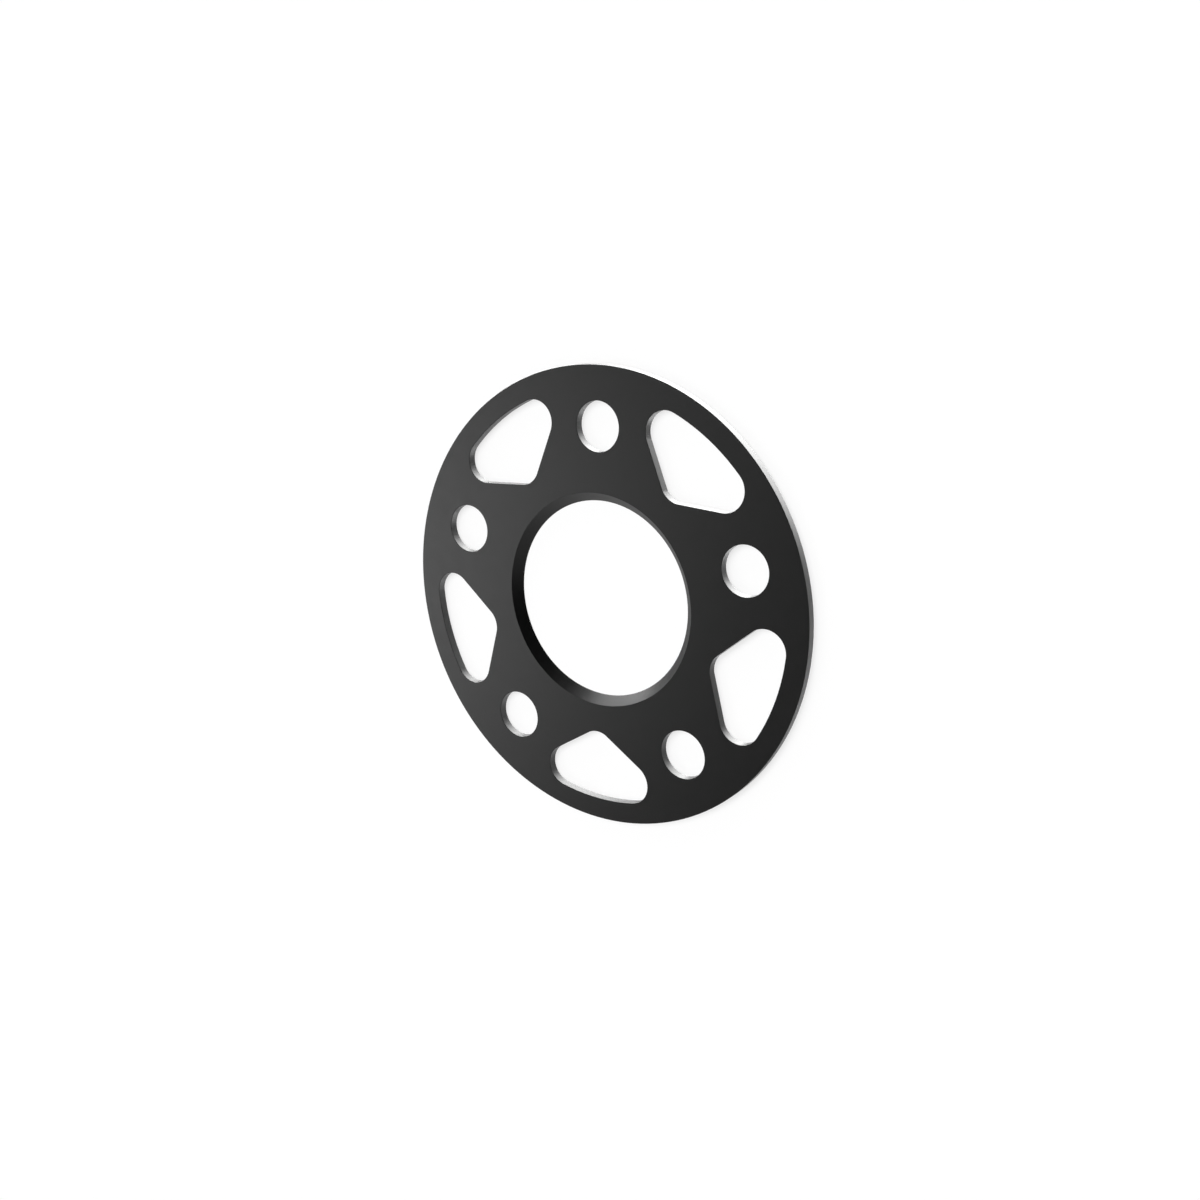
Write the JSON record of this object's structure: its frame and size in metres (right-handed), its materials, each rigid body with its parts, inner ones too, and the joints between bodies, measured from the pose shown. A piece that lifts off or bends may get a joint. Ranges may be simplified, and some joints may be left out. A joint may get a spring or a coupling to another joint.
{
  "type": "wheel spacer",
  "caption": "Thin round wheel spacer plate, black anodised, with a chamfered centre bore, a ring of stud holes and rounded lightening windows between them.",
  "frame": {"origin": "centre of the plain back face, on the disc's axis, which is the bottom of the part as it lies", "axes": "+Z along the disc's axis, out of the chamfered front face; one stud hole is on -Y and one window on +Y"},
  "size_m": [0.15, 0.15, 0.003],
  "materials": {
    "black_anodised": "black anodised, fine satin"
  },
  "bodies": {
    "root": {"spacer_plate": "black_anodised"}
  },
  "joints": []
}
